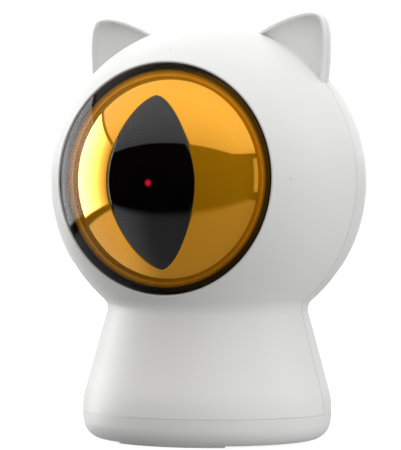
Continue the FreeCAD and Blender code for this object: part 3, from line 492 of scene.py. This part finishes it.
def mat_rubber():
    m, g, out = material("foot_rubber")
    p = object_coords(g)
    col = g.mix(g.noise(p, 300.0, 4.0), (0.76, 0.76, 0.76, 1), (0.82, 0.82, 0.815, 1))
    n = g.noise(p, 3800.0, 4.0, 0.7)
    principled(g, out, Base_Color=col, Roughness=g.remap(n, 0.2, 0.8, 0.62, 0.82), IOR=1.45, Normal=g.bump(n, 0.00002, 0.6))
    return m


def mat_glow():
    """The red spot: bright in the middle, fading to nothing."""
    m, g, out = material("laser_spot_glow")
    p = object_coords(g)
    x, y, z = g.xyz(p)
    dx = g.math("SUBTRACT", x, SPOT_X * MM)
    dz = g.math("SUBTRACT", z, (HEAD_Z + SPOT_Z) * MM)
    r = g.math("MULTIPLY", g.math("SQRT", g.math("ADD", g.math("MULTIPLY", dx, dx), g.math("MULTIPLY", dz, dz))), 1000.0)
    f = g.math("SUBTRACT", 1.0, g.remap(r, 0.42, 1.0, 0.0, 1.0, True))
    col = g.mix(g.remap(r, 0.0, 0.7, 0.0, 1.0), (1.0, 0.03, 0.07, 1), (0.75, 0.004, 0.03, 1))
    em = g.node("ShaderNodeEmission")
    g.put(em.inputs["Color"], col)
    em.inputs["Strength"].default_value = 0.55
    tr = g.node("ShaderNodeBsdfTransparent")
    mx = g.node("ShaderNodeMixShader")
    g.put(mx.inputs[0], f)
    g.t.links.new(tr.outputs[0], mx.inputs[1])
    g.t.links.new(em.outputs[0], mx.inputs[2])
    g.t.links.new(mx.outputs[0], out.inputs["Surface"])
    return m


SHELL = mat_shell()
STEEL = mat_plain("zinc_steel", (0.50, 0.50, 0.51), (0.60, 0.60, 0.61), 0.26, 0.40, metallic=1.0, scale=600.0)
NICKEL = mat_plain("nickel_plate", (0.66, 0.64, 0.58), (0.74, 0.72, 0.66), 0.20, 0.32, metallic=1.0, scale=500.0)
GREY = mat_plain("grey_moulding", (0.085, 0.088, 0.092), (0.105, 0.108, 0.112), 0.42, 0.52, scale=80.0)
ACETAL = mat_plain("white_acetal", (0.76, 0.75, 0.70), (0.80, 0.79, 0.745), 0.32, 0.42, scale=90.0)
BRASS = mat_spun("turned_brass", (0.68, 0.46, 0.17), (0.76, 0.54, 0.22), 0.18, 0.34, "y")
BRASS_Z = mat_spun("cut_brass", (0.68, 0.46, 0.17), (0.76, 0.54, 0.22), 0.20, 0.34, "z")
CAN = mat_spun("drawn_can", (0.56, 0.57, 0.58), (0.64, 0.65, 0.66), 0.22, 0.36, "z", 5000.0)
TIN = mat_plain("tinned_sheet", (0.62, 0.62, 0.61), (0.70, 0.70, 0.69), 0.24, 0.36, metallic=1.0, scale=420.0)
CHIP = mat_plain("chip_epoxy", (0.012, 0.012, 0.013), (0.020, 0.020, 0.021), 0.42, 0.55, scale=300.0)
CAPM = mat_plain("capacitor_sleeve", (0.012, 0.016, 0.035), (0.020, 0.026, 0.050), 0.24, 0.34, scale=200.0)
BUTTON = mat_plain("button_grey", (0.62, 0.62, 0.615), (0.66, 0.66, 0.655), 0.36, 0.46, scale=150.0)
LEDM = mat_plain("led_epoxy", (0.66, 0.70, 0.66), (0.74, 0.77, 0.73), 0.12, 0.20, scale=150.0)
LEAD = mat_plain("lead_sleeve", (0.010, 0.010, 0.011), (0.018, 0.018, 0.019), 0.45, 0.58, scale=300.0)
FOOT = mat_rubber()
BOARD = mat_board()
CELL = mat_cell()
BEZEL = mat_plain("bezel_black", (0.006, 0.006, 0.006), (0.010, 0.010, 0.010), 0.22, 0.30, scale=200.0)
CLEAR = mat_clear("clear_dome", 1.12, 0.004, (0.99, 0.99, 0.99))
INSIDE = mat_clear("clear_dome_inside", 1.02, 0.01, (0.995, 0.995, 0.995))
MASK = mat_fade_painted_glow("skirt_fade_and_painted_glow", 0.30, 1.25)
PIPE = mat_clear("clear_pipe", 1.45, 0.03, (0.90, 0.95, 0.92))
LASERLENS = mat_clear("laser_lens", 1.45, 0.01, (0.93, 0.95, 0.98))
AMBER = mat_amber()
PUPIL = mat_pupil()
RING = mat_fade_painted_glow("eye_ring_fade_and_painted_glow", 0.25, 1.25)
GLOW = mat_glow()

BY_NODE = {
    "front_shell": SHELL, "rear_shell": SHELL, "base_cap": SHELL, "battery_door": SHELL,
    "rubber_feet": FOOT, "battery_cells": CELL, "battery_springs": NICKEL, "battery_contacts": NICKEL,
    "eye_retainer": GREY, "eye_bezel": BEZEL, "iris_dome": AMBER, "pupil_window": PUPIL, "eye_lens": CLEAR,
    "chassis": GREY, "yaw_bush": ACETAL, "yaw_gear": ACETAL, "pitch_gear": ACETAL,
    "yaw_pinion": BRASS_Z, "pitch_pinion": BRASS_Z, "yaw_motor": CAN, "pitch_motor": CAN,
    "yaw_frame": GREY, "laser_cradle": GREY, "laser_barrel": BRASS, "laser_lens": LASERLENS, "laser_diode": BRASS_Z,
    "main_board": BOARD, "board_chips": CHIP, "wireless_module": TIN, "board_connectors": ACETAL,
    "board_capacitor": CAPM, "usb_socket": TIN, "mode_switch": CHIP, "switch_plunger": CHIP, "mode_button": BUTTON,
    "status_led": LEDM, "light_pipe": PIPE, "motor_lead": LEAD,
}
for name, o in NODES.items():
    mat = BY_NODE.get(name, STEEL)
    o.data.materials.clear()
    o.data.materials.append(mat)


# ------------------------------------------------------------------ eye pieces
def revolve_y(name, profile, seg=192, zc=HEAD_Z):
    """Closed solid from a profile of (r, y) points turned about the eye axis; points at r = 0 close the poles."""
    verts, faces, rings = [], [], []
    for r, y in profile:
        if r < 1e-6:
            rings.append([len(verts)])
            verts.append((0.0, y, zc))
        else:
            base = len(verts)
            rings.append(list(range(base, base + seg)))
            for k in range(seg):
                a = 2 * math.pi * k / seg
                verts.append((r * math.cos(a), y, zc + r * math.sin(a)))
    n = len(rings)
    for i in range(n):
        a, b = rings[i], rings[(i + 1) % n]
        if len(a) == 1 and len(b) == 1:
            continue
        for k in range(seg):
            k2 = (k + 1) % seg
            if len(a) == 1:
                faces.append((a[0], b[k2], b[k]))
            elif len(b) == 1:
                faces.append((a[k], a[k2], b[0]))
            else:
                faces.append((a[k], a[k2], b[k2], b[k]))
    o = mesh_object(name, verts, faces)
    fix_normals(o)
    return o


def fix_normals(o):
    import bmesh
    bm = bmesh.new()
    bm.from_mesh(o.data)
    bmesh.ops.recalc_face_normals(bm, faces=bm.faces)
    bm.to_mesh(o.data)
    bm.free()
    o.data.update()


def sharp(o, deg=35.0):
    o.data.set_sharp_from_angle(angle=math.radians(deg))


def arc_pts(rc, yc, r0, r1, n):
    """Points (r, y) along a meridian of the sphere of radius rc centred at y = yc, from radius r0 to r1."""
    a0, a1 = math.asin(max(-1, min(1, r0 / rc))), math.asin(max(-1, min(1, r1 / rc)))
    return [(rc * math.sin(a0 + (a1 - a0) * i / n), yc - rc * math.cos(a0 + (a1 - a0) * i / n)) for i in range(n + 1)]


def fillet(p0, p1, p2, r, n=4):
    """Rounds the corner p1 of a profile with about radius r."""
    a, b, c = Vector(p0), Vector(p1), Vector(p2)
    u, w = (a - b).normalized(), (c - b).normalized()
    s, e = b + u * r, b + w * r
    out = []
    for i in range(n + 1):
        t = i / n
        q = s * (1 - t) ** 2 + b * 2 * t * (1 - t) + e * t * t
        out.append((q.x, q.y))
    return out


def make_lens():
    skirt_y = -math.sqrt(LENS_R ** 2 - 27.40 ** 2)
    outer = arc_pts(LENS_R, 0.0, 0.0, 27.22, 64)
    prof = outer[:-1]
    prof += fillet(outer[-2], (27.40, skirt_y), (27.40, -24.0), 0.22, 5)
    prof += [(27.40, -22.72), (28.70, -22.72), (28.70, -21.42), (26.00, -21.42), (26.0, -math.sqrt(36.85 ** 2 - 26.0 ** 2))]
    prof += arc_pts(36.85, 0.0, 26.0, 0.0, 60)[1:]
    o = revolve_y("clear_dome", prof, 224)
    sharp(o, 30)
    for mat in (CLEAR, MASK, INSIDE):
        o.data.materials.append(mat)
    # the skirt behind the visible dome carries on the ring's fade to black and its painted glow (emission, brighter
    # at the top); the inner face has its own finish
    for f in o.data.polygons:
        c = f.center / MM
        r = math.hypot(c.x, c.z - HEAD_Z)
        if c.y > -27.2 and (r > 25.95 or c.y > -25.9) and math.hypot(r, c.y) < 38.7:
            f.material_index = 1
        elif math.hypot(r, c.y) < 37.2:
            f.material_index = 2
    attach(o, "housing")
    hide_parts("eye_lens")


S0 = (IRIS_RS, IRIS_Y - math.sqrt(IRIS_R ** 2 - IRIS_RS ** 2))
TH0 = math.atan2(S0[1] - IRIS_Y, S0[0])
_d = (IRIS_EDGE - S0[0], IRIS_YE - S0[1])
SH_R = -(_d[0] ** 2 + _d[1] ** 2) / (2 * (math.cos(TH0) * _d[0] + math.sin(TH0) * _d[1]))
SH_C = (S0[0] - SH_R * math.cos(TH0), S0[1] - SH_R * math.sin(TH0))
TH1 = math.atan2(IRIS_YE - SH_C[1], IRIS_EDGE - SH_C[0])


def dome_y(r, d=0.0):
    """Height along the eye axis of the amber dome's outer face moved inwards by d, at radius r."""
    if r <= (IRIS_R - d) * math.cos(TH0):
        return IRIS_Y - math.sqrt((IRIS_R - d) ** 2 - r * r)
    return SH_C[1] - math.sqrt(max((SH_R - d) ** 2 - (r - SH_C[0]) ** 2, 0.0))


def slit_pts(grow, n=288, r_max=99.0):
    """Outline of the slit pupil, larger all round by grow, as n points (x, z) from the eye axis."""
    a, b = PUPIL_HW + grow, PUPIL_HH + grow
    c, s = math.cos(PUPIL_TURN), math.sin(PUPIL_TURN)
    out = []
    for k in range(n):
        t = 2 * math.pi * k / n
        q = math.sin(t)
        x = a * max(1 - abs(q) ** PUPIL_N, 0.0) ** PUPIL_M * (1 if math.cos(t) >= 0 else -1)
        z = b * q
        x, z = x * c - z * s, PUPIL_Z + x * s + z * c
        r = math.hypot(x, z)
        if r > r_max:
            x, z = x * r_max / r, z * r_max / r
        out.append((x, z))
    return out


class Rings:
    """Collects closed rings of points and joins them into a skin."""

    def __init__(self):
        self.verts, self.rings = [], []

    def add(self, pts):
        base = len(self.verts)
        self.verts += pts
        self.rings.append(range(base, base + len(pts)))

    def skin(self, closed):
        faces, n = [], len(self.rings[0])
        pairs = list(zip(self.rings[:-1], self.rings[1:]))
        if closed:
            pairs.append((self.rings[-1], self.rings[0]))
        for a, b in pairs:
            for k in range(n):
                faces.append((a[k], a[(k + 1) % n], b[(k + 1) % n], b[k]))
        return faces


def on_dome(pts, d, dy=0.0):
    return [(x, dome_y(math.hypot(x, z), d) + dy, HEAD_Z + z) for x, z in pts]


def between(p, q, f):
    return [(a[0] + (b[0] - a[0]) * f, a[1] + (b[1] - a[1]) * f) for a, b in zip(p, q)]


def circle_for(pts, r):
    """Points on a circle about the eye axis, each in the direction of its own outline point."""
    out = []
    for x, z in pts:
        a = math.atan2((z - PUPIL_Z) * 0.72, x)
        out.append((r * math.cos(a), r * math.sin(a)))
    return out


def make_iris():
    m, t, edge = 30, 1.2, 0.12
    R = Rings()
    s0, s1 = slit_pts(0.0), slit_pts(edge)
    # up the slit's wall, round its edge, over the dome, round the shoulder, and back underneath
    R.add(on_dome(s0, t))
    R.add([(x, y + edge, z) for x, y, z in on_dome(s0, 0.0)])
    R.add([(x, y + 0.035, z) for x, y, z in on_dome(slit_pts(0.035), 0.0)])
    c1 = circle_for(s1, IRIS_RS)
    for i in range(m + 1):
        R.add(on_dome(between(s1, c1, i / m), 0.0))
    dirs = [(x / IRIS_RS, z / IRIS_RS) for x, z in c1]

    def turned(r, y):
        return [(r * u, y, HEAD_Z + r * w) for u, w in dirs]

    k = 16
    for i in range(1, k + 1):
        a = TH0 + (TH1 - TH0) * i / k
        R.add(turned(SH_C[0] + SH_R * math.cos(a), SH_C[1] + SH_R * math.sin(a)))
    R.add(turned(IRIS_EDGE, -22.0))
    R.add(turned(IRIS_EDGE - t, -22.0))
    for i in range(8):
        a = TH1 + (TH0 - TH1) * i / 7
        R.add(turned(SH_C[0] + (SH_R - t) * math.cos(a), SH_C[1] + (SH_R - t) * math.sin(a)))
    ri = (IRIS_R - t) * math.cos(TH0)
    ci = [(u * ri, w * ri) for u, w in dirs]
    for i in range(1, 8):
        R.add(on_dome(between(ci, s0, i / 8), t))
    o = mesh_object("amber_iris", R.verts, R.skin(True))
    fix_normals(o)
    sharp(o, 50)
    o.data.materials.append(AMBER)
    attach(o, "housing")
    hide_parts("iris_dome")


def make_pupil():
    m = 26
    R = Rings()
    mid = [(0.0, PUPIL_Z)] * 288
    s = slit_pts(-0.15)
    for i in range(1, m + 1):
        R.add(on_dome(between(mid, s, i / m), 0.05))
    R.add([(x, y + 0.03, z) for x, y, z in on_dome(slit_pts(-0.07), 0.05)])
    R.add([(x, y + 0.14, z) for x, y, z in on_dome(slit_pts(-0.05), 0.05)])
    R.add(on_dome(slit_pts(-0.05), 1.24))
    back = slit_pts(0.95, r_max=22.3)
    R.add(on_dome(back, 1.24))
    R.add(on_dome(back, 2.4))
    for i in range(1, 6):
        R.add(on_dome(between(back, mid, i / 6), 2.4))
    faces = R.skin(False)
    verts, n = list(R.verts), 288
    tip, end = len(verts), len(verts) + 1
    verts += on_dome([(0.0, PUPIL_Z)], 0.05) + on_dome([(0.0, PUPIL_Z)], 2.4)
    for k in range(n):
        k2 = (k + 1) % n
        faces.append((tip, R.rings[0][k2], R.rings[0][k]))
        faces.append((end, R.rings[-1][k], R.rings[-1][k2]))
    o = mesh_object("slit_window", verts, faces)
    fix_normals(o)
    sharp(o, 50)
    o.data.materials.append(PUPIL)
    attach(o, "housing")
    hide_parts("pupil_window")


def make_ring():
    prof = [(24.68, -21.98), (24.68, -25.54)]
    # front face, slightly hollow, from the edge of the iris out to the skirt of the clear dome
    for i in range(0, 25):
        f = i / 24
        prof.append((24.74 + (25.75 - 24.74) * f, -25.60 - (26.05 - 25.60) * f ** 1.1))
    prof += [(25.87, -26.05), (25.90, -26.0), (25.90, -21.38), (28.70, -21.38), (28.70, -20.05), (23.20, -20.05), (23.20, -21.98)]
    o = revolve_y("eye_ring", prof, 192)
    sharp(o, 40)
    # the ring's amber fade carries a painted glow (emission), brighter towards the top
    o.data.materials.append(RING)
    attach(o, "housing")
    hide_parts("eye_bezel")


def make_spot():
    """The spot where the beam leaves the window, on a cap that turns with the laser about the dome's own centre."""
    n, m = 48, 8

    def round_(r):
        return [(SPOT_X + r * math.cos(2 * math.pi * k / n), SPOT_Z + r * math.sin(2 * math.pi * k / n)) for k in range(n)]

    R = Rings()
    for i in range(1, m + 1):
        R.add(on_dome(round_(1.0 * i / m), -0.02))
    R.add(on_dome(round_(1.0), -0.005))
    faces = R.skin(False)
    verts = list(R.verts)
    tip, end = len(verts), len(verts) + 1
    verts += on_dome([(SPOT_X, SPOT_Z)], -0.02) + on_dome([(SPOT_X, SPOT_Z)], -0.005)
    for k in range(n):
        k2 = (k + 1) % n
        faces.append((tip, R.rings[0][k2], R.rings[0][k]))
        faces.append((end, R.rings[-1][k], R.rings[-1][k2]))
    o = mesh_object("laser_spot", verts, faces)
    fix_normals(o)
    o.data.materials.append(GLOW)
    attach(o, "laser_cradle")


make_lens()
make_iris()
make_pupil()
make_ring()
make_spot()
